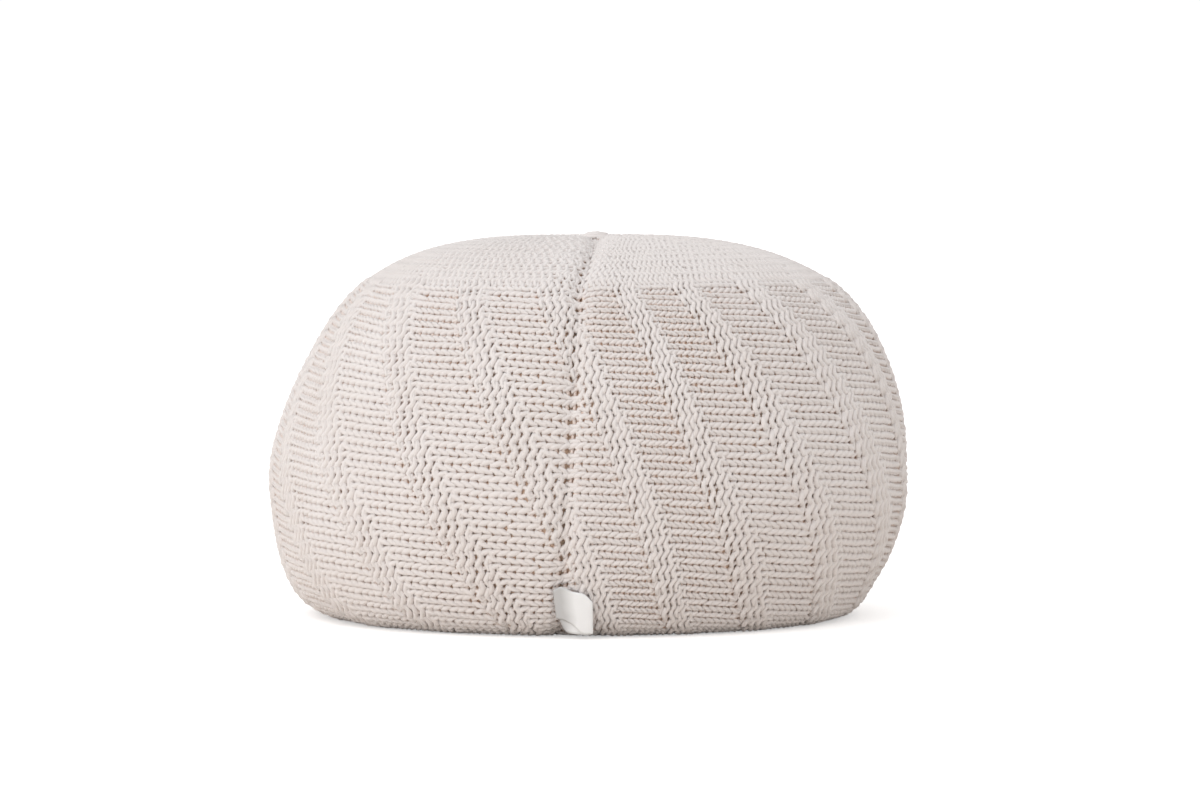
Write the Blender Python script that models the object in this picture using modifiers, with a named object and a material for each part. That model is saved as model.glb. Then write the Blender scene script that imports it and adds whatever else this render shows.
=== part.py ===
"""A round knitted pouf: one filled cushion with slanting ribs and a sewn seam, and its folded label.

The pouf stands on its flat underside with the middle of its box over the world's origin.
Its front, with the seam and the label, faces -Y. Lengths are in metres and angles in degrees.
"""

import math

import bmesh
import bpy
import numpy as np
from mathutils import Matrix, Vector

# The form of the filled cushion, from the flat underside up to the middle of the top.
SECTION_COLUMNS = ("height", "half_width", "shift")
SECTIONS = (
    (0.0000, 0.2110, -0.0030),
    (0.0028, 0.2230, -0.0036),
    (0.0110, 0.2390, -0.0052),
    (0.0280, 0.2515, -0.0066),
    (0.0560, 0.2640, -0.0040),
    (0.0950, 0.2730, -0.0006),
    (0.1320, 0.2738, 0.0003),
    (0.1750, 0.2658, 0.0040),
    (0.2200, 0.2500, 0.0072),
    (0.2600, 0.2280, 0.0088),
    (0.2910, 0.1964, 0.0076),
    (0.3120, 0.1540, 0.0050),
    (0.3232, 0.1060, 0.0040),
    (0.3268, 0.0620, 0.0048),
    (0.3268, 0.0200, 0.0056),
    (0.3300, 0.0085, 0.0056),
)
TOP = 0.3312
STEPS_PER_SECTION = 2  # rings of points from one section to the next
SLOPE_REACH = 0.004  # the side's slope is read over this far each way

# The knit: courses are counted round the pouf and wales down it.
REPEATS = 20
COURSES_PER_REPEAT = 12
WALE = 0.01276
PATTERN_TOP = 0.2873  # height at which the plain crown ends and the ribs begin
PATTERN_PHASE = 12.3  # courses from the front to the first rib's edge, at the top of the pattern
RIB_FADE = 1.5  # wales over which a rib rises out of the plain crown, or sinks at the floor
RIB_CLEAR = 0.5  # wales just above the floor without a rib
ROW_TILT = 0.025  # at mid height the rows of knit rise this much towards -X, in their half width
RIB_COLUMNS = ("course", "rise")
RIB = (
    (0.0, 0.0000),
    (1.0, 0.0026),
    (3.0, 0.0026),
    (4.0, 0.0000),
    (6.5, 0.0009),
    (9.5, 0.0009),
)
# Where the stitches crowd or spread, as angles from the front towards +X.
CROWDING_COLUMNS = ("centre", "reach", "drift")
CROWDING = (
    (-56.0, 9.0, -3.2),
    (-6.0, 24.0, 3.0),
    (28.0, 20.0, -2.4),
    (68.0, 10.0, 2.4),
)

# The seam runs down the front in a shallow channel.
SEAM_COLUMNS = ("height", "x")
SEAM = (
    (0.000, -0.0250),
    (0.030, -0.0238),
    (0.150, -0.0180),
    (0.290, -0.0090),
    (0.320, 0.0020),
    (0.330, 0.0056),
)
SEAM_DEPTH = 0.0030
SEAM_HALF_WIDTH = 0.0100

# Gathers run out from the drawn-in middle of the top, whose last few millimetres stay smooth.
GATHERS = 20
GATHER_RISE = 0.0010
GATHER_RADIUS = 0.060
GATHER_START = 0.020

# The filling is a little uneven: waves round the pouf, at its widest.
LUMP_COLUMNS = ("waves", "start", "rise")
LUMPS = ((3, 40.0, 0.0012), (5, 110.0, 0.0008))

# The label is a strip folded once, and rows follow it from one sewn end to the other. Each row gives
# the strip's upper and lower edge: across from the seam, above the floor, and out from a sloping line.
LABEL_COLUMNS = ("top_across", "top_height", "top_out", "foot_across", "foot_height", "foot_out")
LABEL = (
    (-0.0066, 0.0413, 0.0034, -0.0029, 0.0172, -0.0014),
    (-0.0001, 0.0445, 0.0052, 0.0040, 0.0156, 0.0024),
    (0.0092, 0.0405, 0.0062, 0.0117, 0.0115, 0.0046),
    (0.0182, 0.0388, 0.0066, 0.0190, 0.0050, 0.0060),
    (0.0239, 0.0340, 0.0066, 0.0255, 0.0046, 0.0060),
    (0.0259, 0.0318, 0.0056, 0.0275, 0.0046, 0.0050),
    (0.0239, 0.0330, 0.0046, 0.0255, 0.0042, 0.0040),
    (0.0182, 0.0378, 0.0044, 0.0198, 0.0038, 0.0036),
    (0.0092, 0.0395, 0.0040, 0.0092, 0.0050, 0.0022),
    (-0.0001, 0.0430, 0.0034, 0.0040, 0.0080, 0.0004),
    (-0.0050, 0.0408, 0.0014, -0.0013, 0.0188, -0.0032),
)
LABEL_LINE = (0.0445, 0.2590)  # height and half width at which the sloping line starts
LABEL_SLOPE = 0.372  # half width that the line loses for its drop
LABEL_THICK = 0.0010
LABEL_ACROSS_STEPS = 40
LABEL_UP_STEPS = 6

CREAM = (0.76, 0.70, 0.63)
SATIN_WHITE = (0.86, 0.85, 0.83)


def smooth(rows, steps):
    """The rows of a table with more between them, on a smooth curve through all of them."""
    rows = np.array(rows, float)
    before = np.vstack([2 * rows[0] - rows[1], rows[:-2]])
    after = np.vstack([rows[2:], 2 * rows[-1] - rows[-2]])
    out = []
    for a, b, c, d in zip(before, rows[:-1], rows[1:], after):
        for t in np.arange(steps) / steps:
            bend = (2 * a - 5 * b + 4 * c - d) * t * t + (3 * b - a - 3 * c + d) * t**3
            out.append(b + 0.5 * (c - a) * t + 0.5 * bend)
    out.append(rows[-1])
    return np.array(out)


PROFILE = smooth(SECTIONS, STEPS_PER_SECTION)
PROFILE_STEP = np.hypot(np.diff(PROFILE[:, 0]), np.diff(PROFILE[:, 1]))
PROFILE_ARC = np.concatenate([[0.0], np.cumsum(PROFILE_STEP)])
PATTERN_ARC = float(np.interp(PATTERN_TOP, PROFILE[:, 0], PROFILE_ARC))


def section_at(arc):
    """Height, half width and shift of the plain form, that far along its side from the flat edge."""
    return [float(np.interp(arc, PROFILE_ARC, PROFILE[:, column])) for column in range(3)]


def outward(arc):
    """The way out of the plain form's side, as its sideways and upward shares."""
    low = section_at(arc - SLOPE_REACH)
    high = section_at(arc + SLOPE_REACH)
    along = math.hypot(high[0] - low[0], high[1] - low[1])
    return (high[0] - low[0]) / along, (low[1] - high[1]) / along


def form_point(angle, arc, out):
    """A point that stands out from the plain form by a length, at an angle from the front."""
    height, half_width, shift = section_at(arc)
    sideways, upward = outward(arc)
    radius = half_width + out * sideways
    turn = math.radians(angle)
    return (
        shift + radius * math.sin(turn),
        -radius * math.cos(turn),
        height + out * upward,
    )


def course_angle(course):
    """The angle from the front at which a course of stitches lies."""
    even = (course * 360.0 / (REPEATS * COURSES_PER_REPEAT) + 180.0) % 360.0 - 180.0
    drift = sum(by * math.exp(-(((even - centre) / reach) ** 2)) for centre, reach, by in CROWDING)
    return even + drift


def seam_angle(arc):
    """The angle from the front at which the seam lies."""
    height, half_width, shift = section_at(arc)
    x = float(np.interp(height, [row[0] for row in SEAM], [row[1] for row in SEAM]))
    return math.degrees(math.asin(max(-1.0, min(1.0, (x - shift) / half_width))))


def relief(angle, arc, rise):
    """How far the knit stands out of the plain form: a rib, the seam's channel, gathers and lumps."""
    wales_up = arc / WALE - RIB_CLEAR
    shown = min(1.0, max(0.0, min(wales_down(angle, arc), wales_up) / RIB_FADE))
    height, half_width, _ = section_at(arc)
    aside = math.radians((angle - seam_angle(arc) + 180.0) % 360.0 - 180.0) * half_width
    channel = SEAM_DEPTH * math.exp(-((aside / SEAM_HALF_WIDTH) ** 2))
    channel *= min(1.0, arc / WALE) * min(1.0, half_width / GATHER_RADIUS)
    near_middle = math.exp(-((half_width / GATHER_RADIUS) ** 2)) * min(1.0, half_width / GATHER_START)
    gather = GATHER_RISE * near_middle * math.cos(math.radians(GATHERS * angle))
    widest = math.sin(math.pi * min(1.0, height / TOP))
    lump = sum(by * math.cos(math.radians(waves * (angle - start))) for waves, start, by in LUMPS)
    return rise * shown - channel + gather + lump * widest


def material(name, colour, roughness, sheen):
    made = bpy.data.materials.new(name)
    made.use_nodes = True
    shader = made.node_tree.nodes["Principled BSDF"]
    shader.inputs["Base Color"].default_value = (*colour, 1.0)
    shader.inputs["Roughness"].default_value = roughness
    shader.inputs["Metallic"].default_value = 0.0
    shader.inputs["Sheen Weight"].default_value = sheen
    made.diffuse_color = (*colour, 1.0)
    return made


def add_object(name, shape, look, collection):
    mesh = bpy.data.meshes.new(name)
    bmesh.ops.recalc_face_normals(shape, faces=shape.faces)
    shape.to_mesh(mesh)
    shape.free()
    mesh.shade_smooth()
    mesh.materials.append(look)
    made = bpy.data.objects.new(name, mesh)
    collection.objects.link(made)
    return made


def pouf_body(collection):
    """A sphere's rings and columns, moved onto the cushion: its columns follow the slanting ribs."""
    columns = REPEATS * len(RIB)
    rings = len(PROFILE) + 1
    shape = bmesh.new()
    bmesh.ops.create_uvsphere(shape, u_segments=columns, v_segments=rings, radius=1.0)
    for point in shape.verts:
        ring = round(math.acos(max(-1.0, min(1.0, -point.co.z))) / math.pi * rings)
        column = round(math.atan2(point.co.y, point.co.x) / math.tau * columns) % columns
        if ring == 0:
            point.co = (SECTIONS[0][2], 0.0, 0.0)
        elif ring == rings:
            point.co = (SECTIONS[-1][2], 0.0, TOP)
        else:
            point.co = body_point(ring - 1, column)
    return add_object("pouf_body", shape, material("knitted_yarn", CREAM, 0.95, 0.4), collection)


def wales_down(angle, arc):
    """Wales from the top of the pattern down to a point of the side, along the tilted rows."""
    height, half_width, _ = section_at(arc)
    tilt = ROW_TILT * math.sin(math.pi * min(1.0, height / PATTERN_TOP))
    sunk = tilt * half_width * min(0.0, math.sin(math.radians(angle)))
    return max(0.0, (PATTERN_ARC - arc - sunk) / WALE)


def body_point(ring, column):
    repeat, place = divmod(column, len(RIB))
    course, rise = RIB[place]
    course += COURSES_PER_REPEAT * repeat
    arc = PROFILE_ARC[ring]
    angle = course_angle(course + wales_down(0.0, arc) - PATTERN_PHASE)
    angle = course_angle(course + wales_down(angle, arc) - PATTERN_PHASE)
    out = relief(angle, arc, rise) if ring else 0.0
    return form_point(angle, arc, out)


def label(collection):
    """A folded strip: a grid laid along the label's rows, then given its thickness."""
    rows = smooth(LABEL, LABEL_ACROSS_STEPS // (len(LABEL) - 1))
    shape = bmesh.new()
    bmesh.ops.create_grid(
        shape,
        x_segments=LABEL_ACROSS_STEPS,
        y_segments=LABEL_UP_STEPS,
        size=1.0,
        matrix=Matrix.Identity(4),
    )
    for point in shape.verts:
        row = rows[round((point.co.x + 1) / 2 * LABEL_ACROSS_STEPS)]
        point.co = row_point(row[:3]).lerp(row_point(row[3:]), (1 - point.co.y) / 2)
    made = add_object("label", shape, material("satin", SATIN_WHITE, 0.45, 0.2), collection)
    thick = made.modifiers.new("thickness", "SOLIDIFY")
    thick.thickness = LABEL_THICK
    thick.offset = 0.0
    return made


def row_point(place):
    """A point on one of the label's edges."""
    across, height, out = place
    start_height, start_radius = LABEL_LINE
    radius = start_radius - LABEL_SLOPE * (start_height - height) + out
    shift = float(np.interp(start_height, PROFILE[:, 0], PROFILE[:, 2]))
    seam_x = float(np.interp(height, [row[0] for row in SEAM], [row[1] for row in SEAM]))
    turn = math.asin((seam_x + across - shift) / radius)
    return Vector((shift + radius * math.sin(turn), -radius * math.cos(turn), height))


def over_the_origin(pieces):
    """Moves the pieces together, so that the middle of their box is over the origin."""
    low = np.min([np.min([v.co for v in piece.data.vertices], axis=0) for piece in pieces], axis=0)
    high = np.max([np.max([v.co for v in piece.data.vertices], axis=0) for piece in pieces], axis=0)
    middle = (low + high) / 2
    for piece in pieces:
        piece.data.transform(Matrix.Translation((-middle[0], -middle[1], 0.0)))


def main():
    for old in list(bpy.data.objects):
        bpy.data.objects.remove(old, do_unlink=True)
    collection = bpy.data.collections.new("knitted_pouf")
    bpy.context.scene.collection.children.link(collection)
    over_the_origin([pouf_body(collection), label(collection)])


main()
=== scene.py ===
"""A round knitted pouf on a plain pale floor: its yarn, its front seam and its folded label.

The form's and the label's tables are the same as the solids'. Lengths are in metres and angles
in degrees. The cover is a strip knitted sideways. Its courses run up the sides, and are counted
round the pouf from its front. Its wales run round the pouf, and are counted down from the top of
its pattern. An arc is a distance up along the form from the edge of its flat underside, and is
below 0 under the pouf.
"""

import math

import bpy
import numpy as np
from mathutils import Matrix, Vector

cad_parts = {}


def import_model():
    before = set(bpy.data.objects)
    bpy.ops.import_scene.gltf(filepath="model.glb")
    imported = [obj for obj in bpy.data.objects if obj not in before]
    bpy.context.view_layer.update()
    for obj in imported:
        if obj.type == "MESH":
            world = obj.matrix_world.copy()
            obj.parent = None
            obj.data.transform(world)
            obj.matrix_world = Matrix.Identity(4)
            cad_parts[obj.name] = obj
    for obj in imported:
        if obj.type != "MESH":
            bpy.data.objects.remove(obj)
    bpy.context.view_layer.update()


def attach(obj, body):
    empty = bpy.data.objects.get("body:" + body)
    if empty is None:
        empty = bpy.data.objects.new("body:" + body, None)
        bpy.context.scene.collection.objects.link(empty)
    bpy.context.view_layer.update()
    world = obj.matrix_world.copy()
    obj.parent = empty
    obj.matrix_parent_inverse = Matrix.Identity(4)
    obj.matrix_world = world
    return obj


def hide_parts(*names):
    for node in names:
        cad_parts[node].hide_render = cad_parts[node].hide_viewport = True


# The form of the filled cushion, from the flat underside up to the middle of the top. Each row
# gives a height, the half width there, and how far the section's middle lies to the right.
SECTIONS = (
    (0.0000, 0.2110, -0.0030),
    (0.0028, 0.2230, -0.0036),
    (0.0110, 0.2390, -0.0052),
    (0.0280, 0.2515, -0.0066),
    (0.0560, 0.2640, -0.0040),
    (0.0950, 0.2730, -0.0006),
    (0.1320, 0.2738, 0.0003),
    (0.1750, 0.2658, 0.0040),
    (0.2200, 0.2500, 0.0072),
    (0.2600, 0.2280, 0.0088),
    (0.2910, 0.1964, 0.0076),
    (0.3120, 0.1540, 0.0050),
    (0.3232, 0.1060, 0.0040),
    (0.3268, 0.0620, 0.0048),
    (0.3268, 0.0200, 0.0056),
    (0.3300, 0.0085, 0.0056),
)
TOP = 0.3312
STEPS_PER_SECTION = 12
SLOPE_REACH = 0.004  # the surface's slope is taken between points this far up and down the form
MIDDLE = (0.0006, -0.0014)  # how far the solid was moved to bring its box over the origin

# The knit.
REPEATS = 20
COURSES_PER_REPEAT = 12
PURL_COURSES = 4
COURSES = REPEATS * COURSES_PER_REPEAT
EVEN_PITCH = 360.0 / COURSES
WALE = 0.01284
PATTERN_TOP = 0.2889
PATTERN_PHASE = 12.4
ROW_ZIGZAG = 0.14  # wales by which the rows sink across a knit block and rise across a purl band
FIRST_COURSE = -3.8
SEAM_COURSE = -5.4
PLACE_ROUNDS = 3  # rounds in which a point's angle and arc come to agree

# Where the rows are drawn up a little, mostly to the right of the seam. Each row gives an angle
# and its reach, a height and its reach, and the rise.
ROW_RISES = (
    (30.0, 40.0, 0.160, 0.300, 0.0033),
    (12.0, 24.0, 0.020, 0.100, 0.0052),
    (-40.0, 14.0, 0.240, 0.045, -0.0042),
)
ROW_RISE_START = 2.0  # angle beside the seam over which the rises on its right begin

# Where the courses crowd to one side. Each row gives an angle, its reach and the drift there.
CROWDING = (
    (-70.0, 9.0, -3.5),
    (-56.0, 9.0, -3.2),
    (-6.0, 24.0, 3.0),
    (28.0, 20.0, -2.4),
    (68.0, 10.0, 2.4),
)

# How the courses get fewer towards the middle of the top and of the underside.
COURSE_WIDTH = 0.0058  # courses are left out where they would be narrower than this
LEFT_LAST = (0, 6, 3, 9, 1, 7, 4, 10, 2, 8, 5, 11)  # a repeat's courses, the last one left first
CROWN_END = 0.009  # the courses end this far from the middle of the top
UNDER_END = 0.195  # and reach this far in under the pouf

# A stitch: half its height in courses, its swing in wales, and its depth.
LOOP_REACH = 0.80
LOOP_SWING = 0.27
LEG_PULL = 0.012  # wales by which a stitch's two legs are drawn together
LOOP_DEPTH = 0.0013
LOW_DEPTH = 0.5  # how much deeper the stitches are at the lower edge
LOW_REACH = 0.05  # and the arc over which that fades
CROWN_START = 0.8  # the crown's flatter stitches begin at this wale
CROWN_FADE = 1.8  # and have their full share this many wales further up
CROWN_FLAT = 0.6
FLAT_ANGLE = -72.0  # the stretched stitches lie flatter round this angle
FLAT_REACH = 18.0
FLAT_SHARE = 0.55

# The yarn, given by its radius.
YARN = 0.0021
USUAL_WIDTH = 0.0065  # it is a little thinner or thicker where the courses crowd or spread
LEAST_SPREAD = 0.8  # the least and the most of the usual width that count for that
MOST_SPREAD = 1.3
SPREAD_POWER = 0.8
CROWN_SWELL = 0.08
PUFF = 0.13  # it is this much thicker where it comes to the surface, and thinner where it dips
BAND_EVEN = 0.5  # the share of that which the purl bands lack
END_SHARE = 0.25  # it starts and ends at this share of its radius
END_GROWTH = 2.0  # and grows by this share in a wale
YARN_IN = 0.0019  # the middle of the fabric lies this far inside the form
BAND_RISE = 0.0012
UNDER_SINK = 0.0016  # and lies this much deeper under the pouf
UNDER_SINK_REACH = 0.01
CROWN_PALE = 0.0009  # the crown's yarn gets as little painted shade as if it stood out this much further
BAND_PALE = 0.0009  # and a band's yarn this much

# How uneven the knit is: courses and wales by which the yarn wanders, and how its radius varies.
COURSE_WOBBLE = 0.06
WALE_WOBBLE = 0.024
YARN_WOBBLE = 0.04

# The seam runs down the front in a shallow channel. Each row gives a height and the seam's place.
SEAM = (
    (0.000, -0.0250),
    (0.030, -0.0238),
    (0.150, -0.0180),
    (0.290, -0.0090),
    (0.320, 0.0020),
    (0.330, 0.0056),
)
SEAM_LEAST_RADIUS = 0.02  # near the middle of the top the seam's angle is held small
SEAM_MOST_SINE = 0.3
SEAM_DEPTH = 0.0030
SEAM_HALF_WIDTH = 0.0100
SEAM_REACH = 15.0  # angle over which the courses follow the seam
SEAM_CLEAR = 6.0  # angle over which the raised rows leave the courses beside the seam in place
SEAM_ASIDE = 0.001  # the seam's own stitches lie this far to its right
SEAM_PINCH = 0.20  # wales by which they draw the yarn together
SEAM_PINCH_REACH = 0.0050
SEAM_SINK = 0.0027

# The strand of the bound-off edge beside the seam.
STRAND = 0.0015
STRAND_ASIDE = 0.0088
STRAND_LIFT = -0.0026
STRAND_WAVE = 0.0009  # how far it swings, sideways and out, once in a wale
STRAND_START = 1.0  # the wale it starts at
STRAND_PAST = 0.8  # wales by which it goes on past the form's lower edge
STRAND_SAMPLES = 8
STRAND_SIDES = 8
STRAND_LEAST_RADIUS = 0.03

# The inside that shows between the yarns. Its warm tan colour is painted shade.
CORE_COLUMNS = 480
CORE_ROWS = 90
CORE_IN = 0.0037  # it lies this far inside the form
CORE_END = 0.001
CORE_LOWEST = 0.006
CORE_CLEAR = 0.0062  # across the seam it lies deeper, this far each way
CORE_SEAM_SINK = 1.6 * SEAM_SINK
CORE_TOP_SINK = 0.003  # and it lies deeper in the middle of the top
CORE_TOP_REACH = 0.03

# The coil of yarn in the middle of the top and of the underside.
COIL_PITCH = 0.0037
COIL_OVER = 0.0030  # how far it reaches over the ends of the courses
COIL_END = 0.0014
COIL_SINK = 0.0010
COIL_SINK_SHARES = (0.5, 1.5)  # it sinks between these shares of the hole's radius
COIL_LOWEST = 1.02 * YARN
COIL_SAMPLES = 20

# The cover is gathered round the middle of the top, and swells a little unevenly.
GATHERS = 20
GATHER_RISE = 0.0010
GATHER_RADIUS = 0.060
GATHER_START = 0.020
LUMPS = ((3, 40.0, 0.0012), (5, 110.0, 0.0008))  # waves round the pouf, the angle of one, its rise

# The label's rows, from its outer layer round the fold to its inner one. Each gives the upper and
# then the lower edge: across from the seam, above the floor, and out from a sloping line.
LABEL = (
    (-0.0066, 0.0413, 0.0034, -0.0029, 0.0172, -0.0014),
    (-0.0001, 0.0445, 0.0052, 0.0040, 0.0156, 0.0024),
    (0.0092, 0.0405, 0.0062, 0.0117, 0.0115, 0.0046),
    (0.0182, 0.0388, 0.0066, 0.0190, 0.0050, 0.0060),
    (0.0239, 0.0340, 0.0066, 0.0255, 0.0046, 0.0060),
    (0.0259, 0.0318, 0.0056, 0.0275, 0.0046, 0.0050),
    (0.0239, 0.0330, 0.0046, 0.0255, 0.0042, 0.0040),
    (0.0182, 0.0378, 0.0044, 0.0198, 0.0038, 0.0036),
    (0.0092, 0.0395, 0.0040, 0.0092, 0.0050, 0.0022),
    (-0.0001, 0.0430, 0.0034, 0.0040, 0.0080, 0.0004),
    (-0.0050, 0.0408, 0.0014, -0.0013, 0.0188, -0.0032),
)
LABEL_LINE = (0.0445, 0.2590)  # height and half width at which the sloping line starts
LABEL_SLOPE = 0.372  # half width that the line loses for each metre that it drops
LABEL_STEPS = 8
LABEL_FACES_DOWN = 16
LABEL_THICKNESS = 0.0005

# Colours, each with its place on a ramp from 0 to 1 where it has one.
YARN_PALE = ((0.3, (0.765, 0.714, 0.694)), (0.7, (0.795, 0.75, 0.735)))
# Painted shade: the yarn's warmer, darker colour down between the stitches.
YARN_PAINTED_SHADE = (0.86, 0.64, 0.51)
YARN_SHADE_LIFTS = (0.0, -0.0038)  # the yarn goes from pale to its painted shade between these lifts
# Painted shade: the inside's warm tan stands for the warm light bounced about between the yarns.
INSIDE_PAINTED_SHADE = ((0.0, (0.93, 0.72, 0.57)), (1.0, (0.96, 0.77, 0.62)))
# The satin's ramp runs from grey, partly print and partly painted shade, to a painted highlight.
SATIN = ((0.3, (0.56, 0.565, 0.57)), (1.0, (0.91, 0.925, 0.94)))
SATIN_LIGHT_ACROSS = (-0.002, 0.016)  # the label gets brighter between these distances across: painted shade and the print's grey beside the seam, a painted highlight away from it
FLOOR = ((0.0, (0.94, 0.94, 0.94)), (1.0, (0.95, 0.95, 0.95)))
FLOOR_BOUNCE = (0.88, 0.815, 0.75)
WHITE = (1.0, 1.0, 1.0, 1.0)

# The studio. Its floor glows a little, so that it is almost free of shadow.
FLOOR_REACH = 40.0
FLOOR_GLOW = 0.42
LIGHT_LEVEL = 0.995
LIGHT_LEAN = (-0.15, 0.04, -0.17)  # the way in which the light from all round gets stronger
KEY_DIRECTION = (1.0, 1.2, -0.85)
KEY_ENERGY = 0.75
KEY_ANGLE = 60.0

# The camera, and the photograph's frame that it fits, in pixels.
FRAME_WIDTH = 1200.0
FRAME_HEIGHT = 800.0
AIM_COLUMN = 589.65  # where the point that the camera looks at lies in the frame
AIM_ROW = 428.64
FOCAL_PIXELS = 5201.8
SENSOR_WIDTH = 36.0
AIM_HEIGHT = 0.16
CAMERA_AWAY = 4.5
CAMERA_ELEVATION = 3.0

SECTORS = 6  # the courses are joined into this many pieces
SAMPLES = 8  # points on a stitch's yarn, and fewer where the pouf rests on it
SAMPLES_UNDER = 5
SIDES = 6
RNG = np.random.default_rng(11)


def smooth(rows, steps):
    """The rows of a table with more between them, on a smooth curve through all of them."""
    rows = np.array(rows, float)
    before = np.vstack([2 * rows[0] - rows[1], rows[:-2]])
    after = np.vstack([rows[2:], 2 * rows[-1] - rows[-2]])
    out = []
    for a, b, c, d in zip(before, rows[:-1], rows[1:], after):
        for t in np.arange(steps) / steps:
            bend = (2 * a - 5 * b + 4 * c - d) * t * t + (3 * b - a - 3 * c + d) * t**3
            out.append(b + 0.5 * (c - a) * t + 0.5 * bend)
    out.append(rows[-1])
    return np.array(out)


def bell(away, reach):
    """1 where nothing is away, and falling to 0 within about twice the reach."""
    return np.exp(-((away / reach) ** 2))


def half_turn(angle):
    """The same angle between -180 and 180."""
    return (angle + 180.0) % 360.0 - 180.0


def profile():
    """The form's rows and their arcs, from the middle of the underside to the middle of the top."""
    rows = smooth(SECTIONS, STEPS_PER_SECTION)
    rows = np.vstack([rows, [TOP, 0.0, rows[-1][2]]])
    steps = np.hypot(np.diff(rows[:, 0]), np.diff(rows[:, 1]))
    arc = np.concatenate([[0.0], np.cumsum(steps)])
    middle = np.array([[0.0, 0.0, rows[0][2]]])
    return np.vstack([middle, rows]), np.concatenate([[-rows[0][1]], arc])


PROFILE, PROFILE_ARC = profile()
PATTERN_ARC = float(np.interp(PATTERN_TOP, PROFILE[1:, 0], PROFILE_ARC[1:]))
END_ARC = float(PROFILE_ARC[-1])


def section_at(arc):
    """The height, half width and shift of the form at an arc."""
    return [np.interp(arc, PROFILE_ARC, PROFILE[:, column]) for column in range(3)]


def outward(arc):
    """How far the surface faces sideways and upward."""
    low = section_at(arc - SLOPE_REACH)
    high = section_at(arc + SLOPE_REACH)
    along = np.hypot(high[0] - low[0], high[1] - low[1])
    return (high[0] - low[0]) / along, (low[1] - high[1]) / along


def form_point(angle, arc, out):
    """Points that stand out from the plain form, as rows of x, y and z."""
    height, half_width, shift = section_at(arc)
    sideways, upward = outward(arc)
    radius = half_width + out * sideways
    turn = np.radians(angle)
    x = shift + radius * np.sin(turn) + MIDDLE[0]
    y = -radius * np.cos(turn) + MIDDLE[1]
    return np.stack([x, y, height + out * upward], axis=-1)


def form_normal(angle, arc):
    """The directions in which the plain form faces."""
    sideways, upward = outward(arc)
    turn = np.radians(angle)
    return np.stack([sideways * np.sin(turn), -sideways * np.cos(turn), upward], axis=-1)


def seam_x(height):
    """How far to the right the seam lies."""
    return np.interp(height, [row[0] for row in SEAM], [row[1] for row in SEAM])


def seam_angle(arc):
    height, half_width, shift = section_at(arc)
    sine = (seam_x(height) - shift) / np.maximum(half_width, SEAM_LEAST_RADIUS)
    return np.degrees(np.arcsin(np.clip(sine, -SEAM_MOST_SINE, SEAM_MOST_SINE)))


def beside_seam(angle, arc):
    """How far round the pouf points lie from the seam, in metres."""
    return np.radians(half_turn(angle - seam_angle(arc))) * section_at(arc)[1]


def sewn_share(angle, arc, reach):
    """1 at the seam's own stitches, and falling to 0 beside them."""
    return bell(beside_seam(angle, arc) - SEAM_ASIDE, reach)


def course_angle(course):
    even = half_turn(course * EVEN_PITCH)
    return even + sum(drift * bell(even - centre, reach) for centre, reach, drift in CROWDING)


def courses_left(wale):
    """Courses in a repeat at a wale, as a number that may have a fraction."""
    half_width = section_at(PATTERN_ARC - wale * WALE)[1]
    return np.clip(2 * math.pi * half_width / REPEATS / COURSE_WIDTH, 1.0, COURSES_PER_REPEAT)


def course_width(course, arc):
    """The width of a course, with the repeat's courses that are left out there shared among the rest."""
    turn = np.radians(course_angle(course + 0.5) - course_angle(course - 0.5)) % math.tau
    left = courses_left((PATTERN_ARC - arc) / WALE) / COURSES_PER_REPEAT
    return turn * section_at(arc)[1] / left


def row_rise(angle, arc):
    """How far the rows are drawn up at places on the side."""
    height = section_at(arc)[0]
    beside = np.clip((angle - seam_angle(arc)) / ROW_RISE_START, 0.0, 1.0)
    total = np.zeros_like(height)
    for centre, reach, middle, tall, rise in ROW_RISES:
        near = np.exp(-(((angle - centre) / reach) ** 2) - ((height - middle) / tall) ** 2)
        total = total + rise * near * (beside if centre > 0 else 1.0)
    return total


def place(course, wale):
    """The angle and the arc of points on the knit's grid of courses and wales."""
    even = course_angle(course)
    home = course_angle(SEAM_COURSE)
    near = bell(even - home, SEAM_REACH)
    apart = 1.0 - bell(even - home, SEAM_CLEAR)
    even_arc = PATTERN_ARC - wale * WALE
    angle = even
    arc = even_arc
    for _ in range(PLACE_ROUNDS):
        rise = row_rise(angle, arc)
        angle = even + (seam_angle(arc) - home) * near - EVEN_PITCH * rise / WALE * apart
        arc = even_arc + rise
    return angle, arc


def relief(angle, arc):
    """How far the fabric stands out of the plain form: the seam's channel, gathers and lumps."""
    height, half_width, _ = section_at(arc)
    channel = SEAM_DEPTH * bell(beside_seam(angle, arc), SEAM_HALF_WIDTH)
    channel *= np.clip(arc / WALE, 0.0, 1.0) * np.clip(half_width / GATHER_RADIUS, 0.0, 1.0)
    near_middle = bell(half_width, GATHER_RADIUS) * np.clip(half_width / GATHER_START, 0.0, 1.0)
    gather = GATHER_RISE * near_middle * np.cos(np.radians(GATHERS * angle)) * (arc > 0)
    widest = np.sin(math.pi * np.clip(height / TOP, 0.0, 1.0))
    lump = sum(rise * np.cos(np.radians(waves * (angle - start))) for waves, start, rise in LUMPS)
    return gather - channel + lump * widest


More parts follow.
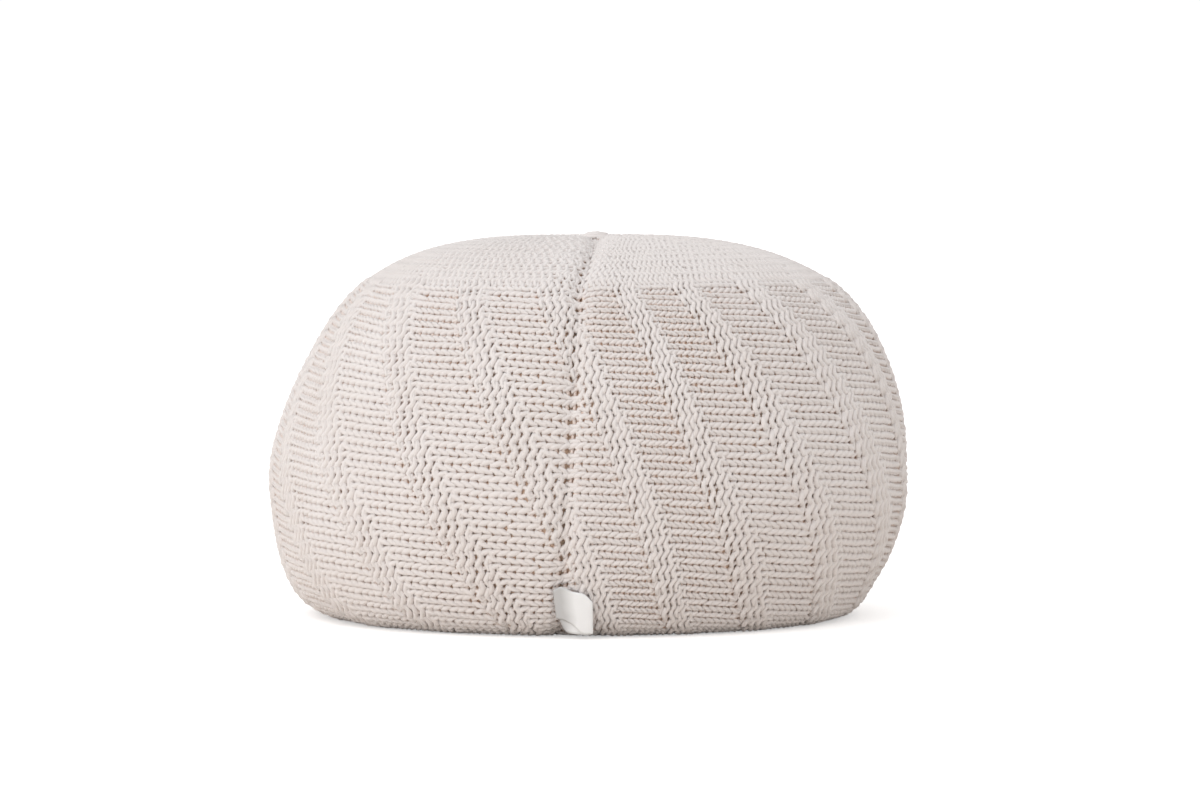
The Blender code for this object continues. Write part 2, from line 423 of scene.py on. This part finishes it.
def course_places():
    """Which courses of a repeat are knitted at each wale, and where in the repeat they lie."""
    first = -math.floor((END_ARC - CROWN_END - PATTERN_ARC) / WALE)
    wales = np.arange(first, math.floor((PATTERN_ARC + UNDER_END) / WALE))
    count = np.round(courses_left(wales + 0.5)).astype(int)
    kept = np.zeros((len(wales), COURSES_PER_REPEAT), bool)
    places = np.zeros((len(wales), COURSES_PER_REPEAT))
    for row, number in enumerate(count):
        for order, course in enumerate(sorted(LEFT_LAST[:number])):
            kept[row, course] = True
            places[row, course] = (order + 0.5) / number * COURSES_PER_REPEAT - 0.5
    for course in range(COURSES_PER_REPEAT):
        rows = np.flatnonzero(kept[:, course])
        places[:, course] = np.interp(np.arange(len(wales)), rows, places[rows, course])
    return wales, kept, places


WALES, KEPT, PLACES = course_places()
WALE_CENTRES = WALES + 0.5


def through_repeat(course, wale):
    """How many courses into its repeat of the pattern a stitch lies."""
    return (course - wale + PATTERN_PHASE) % COURSES_PER_REPEAT


def zigzag(course, wale):
    """How far the rows of the pattern swing down, from -1 to 1."""
    knots = (0.0, PURL_COURSES, COURSES_PER_REPEAT)
    on_side = np.clip(wale, 0.0, 1.0) * np.clip(PATTERN_ARC / WALE - wale, 0.0, 1.0)
    return np.interp(through_repeat(course, wale), knots, (1.0, -1.0, 1.0)) * on_side


def purl(course, wale):
    """1 where a stitch is purl and -1 where it is knit."""
    on_side = (wale >= 0) & (PATTERN_ARC - wale * WALE > 0)
    return np.where((through_repeat(course, wale) < PURL_COURSES) | ~on_side, 1.0, -1.0)


def yarn_depth(course, wale, t):
    """How far the yarn comes out of the fabric, from -1 to 1, where t goes from 0 to 1 in a stitch."""
    leg = -purl(course, wale)
    head = purl(course - 1, wale)
    foot_start = (purl(course, wale - 1) - leg) / 2
    foot_end = (purl(course, wale + 1) - leg) / 2
    knots = np.stack([foot_start, leg, head, leg, foot_end], axis=0)
    quarter = t * 4
    low = np.clip(np.floor(quarter).astype(int), 0, 3)
    blend = 0.5 - 0.5 * np.cos(math.pi * (quarter - low))
    pick = np.arange(len(t))
    return knots[low, pick] * (1 - blend) + knots[low + 1, pick] * blend


def ring_faces(rings, sides):
    """Faces of four between rings of points that follow one another."""
    first = np.arange(rings - 1)[:, None] * sides
    a = first + np.arange(sides)[None, :]
    b = first + (np.arange(sides)[None, :] + 1) % sides
    return np.stack([a, b, b + sides, a + sides], axis=-1).reshape(-1, 4)


def tube(points, normals, radius, lift, sides):
    """A tube's corners, its faces, and how far each corner stands out of the fabric."""
    along = np.gradient(points, axis=0)
    along /= np.linalg.norm(along, axis=1, keepdims=True)
    aside = np.cross(along, normals)
    aside /= np.linalg.norm(aside, axis=1, keepdims=True)
    up = np.cross(aside, along)
    turn = np.arange(sides) / sides * math.tau
    ring = aside[:, None] * np.cos(turn)[None, :, None] + up[:, None] * np.sin(turn)[None, :, None]
    corners = points[:, None] + ring * radius[:, None, None]
    lift = lift[:, None] + radius[:, None] * np.sin(turn)[None, :]
    return corners.reshape(-1, 3), ring_faces(len(points), sides), lift.ravel()


def add_mesh(name, parts, look):
    """One piece joined from tubes or grids, given as corners, faces of four and each corner's lift."""
    corners = []
    faces = []
    lifts = []
    start = 0
    for part_corners, part_faces, part_lift in parts:
        corners.append(part_corners)
        faces.append(part_faces + start)
        lifts.append(part_lift)
        start += len(part_corners)
    corners = np.concatenate(corners)
    faces = np.concatenate(faces)
    mesh = bpy.data.meshes.new(name)
    mesh.vertices.add(len(corners))
    mesh.vertices.foreach_set("co", corners.astype(np.float32).ravel())
    mesh.loops.add(faces.size)
    mesh.loops.foreach_set("vertex_index", faces.astype(np.int32).ravel())
    mesh.polygons.add(len(faces))
    mesh.polygons.foreach_set("loop_start", np.arange(len(faces), dtype=np.int32) * 4)
    mesh.update(calc_edges=True)
    mesh.validate()
    mesh.shade_smooth()
    lift = mesh.attributes.new("lift", "FLOAT", "POINT")
    lift.data.foreach_set("value", np.concatenate(lifts).astype(np.float32))
    mesh.materials.append(look)
    made = bpy.data.objects.new(name, mesh)
    bpy.context.scene.collection.objects.link(made)
    return made


def course_line(index):
    """The yarn of one course, from the end near the top's middle to the one under the pouf."""
    repeat, within = divmod(index, COURSES_PER_REPEAT)
    kept = WALES[KEPT[:, within]]
    top = kept.min()
    bottom = kept.max() + 1
    steps = []
    for wale in range(top, bottom):
        under = PATTERN_ARC - wale * WALE < 0
        count = SAMPLES_UNDER if under else SAMPLES
        steps.append(wale + np.arange(count) / count)
    along = np.concatenate(steps + [[float(bottom)]])
    wale = np.floor(along).astype(int)
    t = along - wale
    course = index + FIRST_COURSE

    # The yarn's line on the knit's grid, a little uneven.
    knots = np.arange(bottom - top + 2)
    draws = RNG.normal(0.0, 1.0, (3, len(knots)))
    uneven = [np.interp(along - top, knots, row) for row in draws]
    spread = COURSES_PER_REPEAT / courses_left(along)
    centre = repeat * COURSES_PER_REPEAT + np.interp(along, WALE_CENTRES, PLACES[:, within])
    reach = LOOP_REACH * np.cos(math.tau * t) + COURSE_WOBBLE * uneven[0]
    line_course = FIRST_COURSE + centre + reach * spread
    line_wale = along + LOOP_SWING * np.sin(2 * math.tau * t) + LEG_PULL * np.sin(math.tau * t)
    line_wale = line_wale + WALE_WOBBLE * uneven[1]
    line_wale = line_wale + ROW_ZIGZAG * zigzag(line_course, line_wale)
    angle, arc = place(line_course, line_wale)
    sewn = sewn_share(angle, arc, SEAM_PINCH_REACH)
    angle, arc = place(line_course, line_wale + SEAM_PINCH * sewn * np.sin(math.tau * line_wale))

    # How far each point lies out of the form.
    band = (purl(course, wale) + 1) / 2 * ((wale >= 0) & (arc > 0))
    on_crown = np.clip((CROWN_START - line_wale) / CROWN_FADE, 0.0, 1.0)
    low_down = np.clip(1.0 - arc / LOW_REACH, 0.0, 1.0) * (arc > 0)
    flat = FLAT_SHARE * bell(angle - FLAT_ANGLE, FLAT_REACH)
    depth = yarn_depth(course, wale, t)
    deep = LOOP_DEPTH * (1.0 - CROWN_FLAT * on_crown + LOW_DEPTH * low_down) * (1.0 - flat)
    lift = depth * deep - YARN_IN
    out = relief(angle, arc) + lift + BAND_RISE * band - SEAM_SINK * sewn * (arc > 0)
    out -= UNDER_SINK * np.clip(-arc / UNDER_SINK_REACH, 0.0, 1.0)

    # How thick the yarn is, and how much painted shade it gets.
    ends = np.minimum(along - top, (bottom - top) - (along - top))
    radius = YARN * (1.0 + YARN_WOBBLE * uneven[2])
    radius *= np.clip(END_SHARE + ends * END_GROWTH, END_SHARE, 1.0)
    wide = np.clip(course_width(line_course, arc) / USUAL_WIDTH, LEAST_SPREAD, MOST_SPREAD)
    radius *= wide**SPREAD_POWER * (1.0 + CROWN_SWELL * on_crown)
    radius *= 1.0 + PUFF * depth * (1.0 - on_crown) * (1.0 - BAND_EVEN * band)
    # the lift that sets the yarn's painted shade, with less of it on the crown and the bands
    pale = lift + CROWN_PALE * on_crown + BAND_PALE * band

    points = form_point(angle, arc, out)
    points[:, 2] = np.maximum(points[:, 2], radius)  # nothing reaches under the floor
    return tube(points, form_normal(angle, arc), radius, pale, SIDES)


def core(look):
    """The inside that shows between the yarns, with its warm tan colour as painted shade."""
    angle = np.arange(CORE_COLUMNS) / CORE_COLUMNS * 360.0 - 180.0
    arc = np.linspace(PROFILE_ARC[0] + CORE_END, END_ARC - CORE_END, CORE_ROWS)
    angles, arcs = np.meshgrid(angle, arc)
    near_top = np.clip((arcs - END_ARC) / CORE_TOP_REACH + 1.0, 0.0, 1.0)
    sunk = CORE_SEAM_SINK * sewn_share(angles, arcs, CORE_CLEAR) + CORE_TOP_SINK * near_top
    points = form_point(angles, arcs, relief(angles, arcs) - CORE_IN - sunk)
    points[..., 2] = np.maximum(points[..., 2], CORE_LOWEST)
    corners = points.reshape(-1, 3)
    faces = ring_faces(CORE_ROWS, CORE_COLUMNS)
    return add_mesh("core", [(corners, faces, np.full(len(corners), -CORE_IN))], look)


def seam_chain():
    """The strand of the bound-off edge beside the seam."""
    along = np.arange(STRAND_START, PATTERN_ARC / WALE + STRAND_PAST, 1 / STRAND_SAMPLES)
    angle, arc = place(np.full_like(along, SEAM_COURSE), along)
    turn = math.tau * along
    off = STRAND_ASIDE + STRAND_WAVE * np.sin(turn)
    angle = angle + np.degrees(off / np.maximum(section_at(arc)[1], STRAND_LEAST_RADIUS))
    lift = STRAND_LIFT + STRAND_WAVE * np.cos(turn)
    points = form_point(angle, arc, relief(angle, arc) + lift)
    points[:, 2] = np.maximum(points[:, 2], STRAND)
    return [tube(points, form_normal(angle, arc), np.full(len(along), STRAND), lift, STRAND_SIDES)]


def drawn_ends():
    """The yarn that draws the cover together, coiled in the middle of the top and of the underside."""
    parts = []
    top_hole = END_ARC - (PATTERN_ARC - WALES[0] * WALE)
    under_hole = PATTERN_ARC - (WALES[-1] + 1) * WALE - PROFILE_ARC[0]
    for middle, inward, hole in ((END_ARC, -1.0, top_hole), (PROFILE_ARC[0], 1.0, under_hole)):
        turns = (hole + COIL_OVER - COIL_END) / COIL_PITCH
        along = np.linspace(0.0, turns, math.ceil(turns * COIL_SAMPLES))
        away = hole + COIL_OVER - COIL_PITCH * along
        angle = along * 360.0
        arc = middle + inward * away
        out = np.interp(away / hole, COIL_SINK_SHARES, (0.0, -COIL_SINK)) - YARN_IN
        points = form_point(angle, arc, out)
        points[:, 2] = np.clip(points[:, 2], COIL_LOWEST, TOP - YARN)
        radius = np.full(len(along), YARN)
        lift = out - out.min() - COIL_SINK
        parts.append(tube(points, form_normal(angle, arc), radius, lift, SIDES))
    return parts


def label_edge(places):
    """Points on one of the label's edges."""
    across, height, out = places.T
    start_height, start_radius = LABEL_LINE
    radius = start_radius - LABEL_SLOPE * (start_height - height) + out
    shift = np.interp(start_height, PROFILE[1:, 0], PROFILE[1:, 2])
    turn = np.arcsin((seam_x(height) + across - shift) / radius)
    x = shift + radius * np.sin(turn) + MIDDLE[0]
    y = MIDDLE[1] - radius * np.cos(turn)
    return np.stack([x, y, height], axis=-1)


def label_mesh(look):
    """The folded label. Its stored lift is its distance across, for the satin's painted shade and
    highlight.
    """
    rows = smooth(LABEL, LABEL_STEPS)
    down = np.arange(LABEL_FACES_DOWN + 1)[None, :, None] / LABEL_FACES_DOWN
    top = label_edge(rows[:, :3])[:, None]
    foot = label_edge(rows[:, 3:])[:, None]
    corners = (top + (foot - top) * down).reshape(-1, 3)
    width = LABEL_FACES_DOWN + 1
    a = (np.arange(len(rows) - 1)[:, None] * width + np.arange(LABEL_FACES_DOWN)[None, :]).ravel()
    faces = np.stack([a, a + 1, a + width + 1, a + width], axis=-1)
    made = add_mesh("folded_label", [(corners, faces, np.repeat(rows[:, 0], width))], look)
    thick = made.modifiers.new("thickness", "SOLIDIFY")
    thick.thickness = LABEL_THICKNESS
    thick.offset = 0.0
    return made


def new_material(name, roughness):
    made = bpy.data.materials.new(name)
    made.use_nodes = True
    shader = made.node_tree.nodes["Principled BSDF"]
    shader.inputs["Roughness"].default_value = roughness
    return made, made.node_tree, shader


def add_texture(tree, kind, scale):
    """A texture laid out in the piece's own metres."""
    where = tree.nodes.new("ShaderNodeTexCoord")
    made = tree.nodes.new(kind)
    made.inputs["Scale"].default_value = scale
    tree.links.new(where.outputs["Object"], made.inputs["Vector"])
    return made


def add_ramp(tree, value, stops):
    """Colours by a value. The two stops give each colour's place and the colour."""
    ramp = tree.nodes.new("ShaderNodeValToRGB")
    for element, (position, colour) in zip(ramp.color_ramp.elements, stops):
        element.position = position
        element.color = (*colour, 1.0)
    tree.links.new(value, ramp.inputs["Fac"])
    return ramp.outputs["Color"]


def add_mix(tree, factor):
    """A mix of two colours, as its two sockets in and its one out."""
    mix = tree.nodes.new("ShaderNodeMix")
    mix.data_type = "RGBA"
    tree.links.new(factor, mix.inputs["Factor"])
    first, second = [socket for socket in mix.inputs if socket.type == "RGBA"]
    mixed = [socket for socket in mix.outputs if socket.type == "RGBA"][0]
    return first, second, mixed


def add_bump(tree, shader, height, strength, distance):
    bump = tree.nodes.new("ShaderNodeBump")
    bump.inputs["Strength"].default_value = strength
    bump.inputs["Distance"].default_value = distance
    tree.links.new(height, bump.inputs["Height"])
    tree.links.new(bump.outputs["Normal"], shader.inputs["Normal"])


def share_of_lift(tree, start, end, ease):
    """How far the lift stored on the mesh is from the start to the end, from 0 to 1."""
    lift = tree.nodes.new("ShaderNodeAttribute")
    lift.attribute_name = "lift"
    share = tree.nodes.new("ShaderNodeMapRange")
    share.interpolation_type = ease
    share.inputs["From Min"].default_value = start
    share.inputs["From Max"].default_value = end
    tree.links.new(lift.outputs["Fac"], share.inputs["Value"])
    return share.outputs["Result"]


def yarn_material():
    """Matt fuzzy yarn, pale outside, with painted shade: warmer and darker down between the stitches."""
    made, tree, shader = new_material("knitted_yarn_look", roughness=0.92)
    shader.inputs["Sheen Weight"].default_value = 0.35
    shader.inputs["Sheen Roughness"].default_value = 0.5
    shader.inputs["Specular IOR Level"].default_value = 0.2
    broad = add_texture(tree, "ShaderNodeTexNoise", scale=14.0)
    # painted shade: the deep colour is mixed in where the yarn lies down between the stitches
    outer, inner, mixed = add_mix(tree, share_of_lift(tree, *YARN_SHADE_LIFTS, ease="SMOOTHSTEP"))
    tree.links.new(add_ramp(tree, broad.outputs["Fac"], YARN_PALE), outer)
    inner.default_value = (*YARN_PAINTED_SHADE, 1.0)
    tree.links.new(mixed, shader.inputs["Base Color"])
    fuzz = add_texture(tree, "ShaderNodeTexNoise", scale=900.0)
    fuzz.inputs["Detail"].default_value = 3.0
    add_bump(tree, shader, fuzz.outputs["Fac"], strength=0.35, distance=0.0006)
    return made


def satin_material():
    """Smooth ribbon with its fine weave, greyer in places, with painted shade beside the seam and a
    painted highlight away from it.
    """
    made, tree, shader = new_material("satin_look", roughness=0.38)
    shader.inputs["Specular IOR Level"].default_value = 0.4
    broad = add_texture(tree, "ShaderNodeTexNoise", scale=45.0)
    both = tree.nodes.new("ShaderNodeMath")
    both.operation = "MULTIPLY_ADD"
    both.inputs[1].default_value = 0.5
    tree.links.new(broad.outputs["Fac"], both.inputs[0])
    # painted shade and a painted highlight across the label
    tree.links.new(share_of_lift(tree, *SATIN_LIGHT_ACROSS, ease="LINEAR"), both.inputs[2])
    tree.links.new(add_ramp(tree, both.outputs["Value"], SATIN), shader.inputs["Base Color"])
    weave = add_texture(tree, "ShaderNodeTexWave", scale=900.0)
    weave.bands_direction = "Z"
    add_bump(tree, shader, weave.outputs["Fac"], strength=0.15, distance=0.0001)
    return made


def matt_material(name, colours, scale):
    """A matt surface whose colour varies a little from place to place."""
    made, tree, shader = new_material(name, roughness=1.0)
    noise = add_texture(tree, "ShaderNodeTexNoise", scale)
    tree.links.new(add_ramp(tree, noise.outputs["Fac"], colours), shader.inputs["Base Color"])
    return made


def floor_material():
    """Pale paint that glows for the camera, and sends a warmer light back up to the pouf."""
    made = matt_material("floor_paint", FLOOR, scale=3.0)
    tree = made.node_tree
    shader = tree.nodes["Principled BSDF"]
    seen = tree.nodes.new("ShaderNodeLightPath").outputs["Is Camera Ray"]
    glow = tree.nodes.new("ShaderNodeMath")
    glow.operation = "MULTIPLY"
    glow.inputs[1].default_value = FLOOR_GLOW
    tree.links.new(seen, glow.inputs[0])
    tree.links.new(glow.outputs["Value"], shader.inputs["Emission Strength"])
    shader.inputs["Emission Color"].default_value = WHITE
    bounced, direct, mixed = add_mix(tree, seen)
    bounced.default_value = (*FLOOR_BOUNCE, 1.0)
    tree.links.new(shader.inputs["Base Color"].links[0].from_socket, direct)
    tree.links.new(mixed, shader.inputs["Base Color"])
    return made


def add_camera():
    """The camera at the photograph's angle, a little above the pouf's middle."""
    elevation = math.radians(CAMERA_ELEVATION)
    data = bpy.data.cameras.new("camera")
    data.sensor_width = SENSOR_WIDTH
    data.lens = FOCAL_PIXELS * SENSOR_WIDTH / FRAME_WIDTH
    data.shift_x = (FRAME_WIDTH / 2 - AIM_COLUMN) / FRAME_WIDTH
    data.shift_y = (AIM_ROW - FRAME_HEIGHT / 2) / FRAME_WIDTH
    made = bpy.data.objects.new("camera", data)
    back = CAMERA_AWAY * math.cos(elevation)
    up = CAMERA_AWAY * math.sin(elevation)
    made.location = (MIDDLE[0], MIDDLE[1] - back, AIM_HEIGHT + up)
    made.rotation_euler = (math.pi / 2 - elevation, 0.0, 0.0)
    bpy.context.scene.collection.objects.link(made)
    bpy.context.scene.camera = made


def add_floor():
    mesh = bpy.data.meshes.new("floor")
    corners = [(x * FLOOR_REACH, y * FLOOR_REACH, 0) for x, y in ((-1, -1), (1, -1), (1, 1), (-1, 1))]
    mesh.from_pydata(corners, [], [(0, 1, 2, 3)])
    mesh.materials.append(floor_material())
    floor = bpy.data.objects.new("floor", mesh)
    bpy.context.scene.collection.objects.link(floor)


def add_lights():
    """Soft light from all round, stronger from the left and from below, and a broad key light."""
    world = bpy.data.worlds.new("studio")
    bpy.context.scene.world = world
    world.use_nodes = True
    tree = world.node_tree
    background = tree.nodes["Background"]
    where = tree.nodes.new("ShaderNodeTexCoord")
    lean = tree.nodes.new("ShaderNodeVectorMath")
    lean.operation = "DOT_PRODUCT"
    lean.inputs[1].default_value = LIGHT_LEAN
    tree.links.new(where.outputs["Generated"], lean.inputs[0])
    level = tree.nodes.new("ShaderNodeMath")
    level.operation = "ADD"
    level.inputs[1].default_value = LIGHT_LEVEL
    tree.links.new(lean.outputs["Value"], level.inputs[0])
    tree.links.new(level.outputs["Value"], background.inputs["Strength"])
    background.inputs["Color"].default_value = WHITE
    key = bpy.data.lights.new("key", "SUN")
    key.energy = KEY_ENERGY
    key.angle = math.radians(KEY_ANGLE)
    made = bpy.data.objects.new("key", key)
    made.rotation_mode = "QUATERNION"
    made.rotation_quaternion = Vector(KEY_DIRECTION).to_track_quat("-Z", "Y")
    bpy.context.scene.collection.objects.link(made)


def yarn_pieces(look):
    """The courses, joined by sectors, the seam's strand and the coils at the two ends."""
    made = []
    per_sector = math.ceil(COURSES / SECTORS)
    for sector in range(SECTORS):
        first = sector * per_sector
        last = min(COURSES, first + per_sector)
        parts = [course_line(index) for index in range(first, last)]
        made.append(add_mesh(f"knit_{sector + 1}", parts, look))
    made.append(add_mesh("seam_chain", seam_chain(), look))
    made.append(add_mesh("drawn_ends", drawn_ends(), look))
    return made


def main():
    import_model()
    bpy.context.scene.view_settings.view_transform = "Standard"
    add_camera()
    add_floor()
    add_lights()
    inside = core(matt_material("inside", INSIDE_PAINTED_SHADE, scale=60.0))
    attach(inside, "root")
    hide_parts("pouf_body")
    for piece in yarn_pieces(yarn_material()):
        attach(piece, "root")
        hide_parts("pouf_body")
    label = label_mesh(satin_material())
    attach(label, "root")
    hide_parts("label")


main()
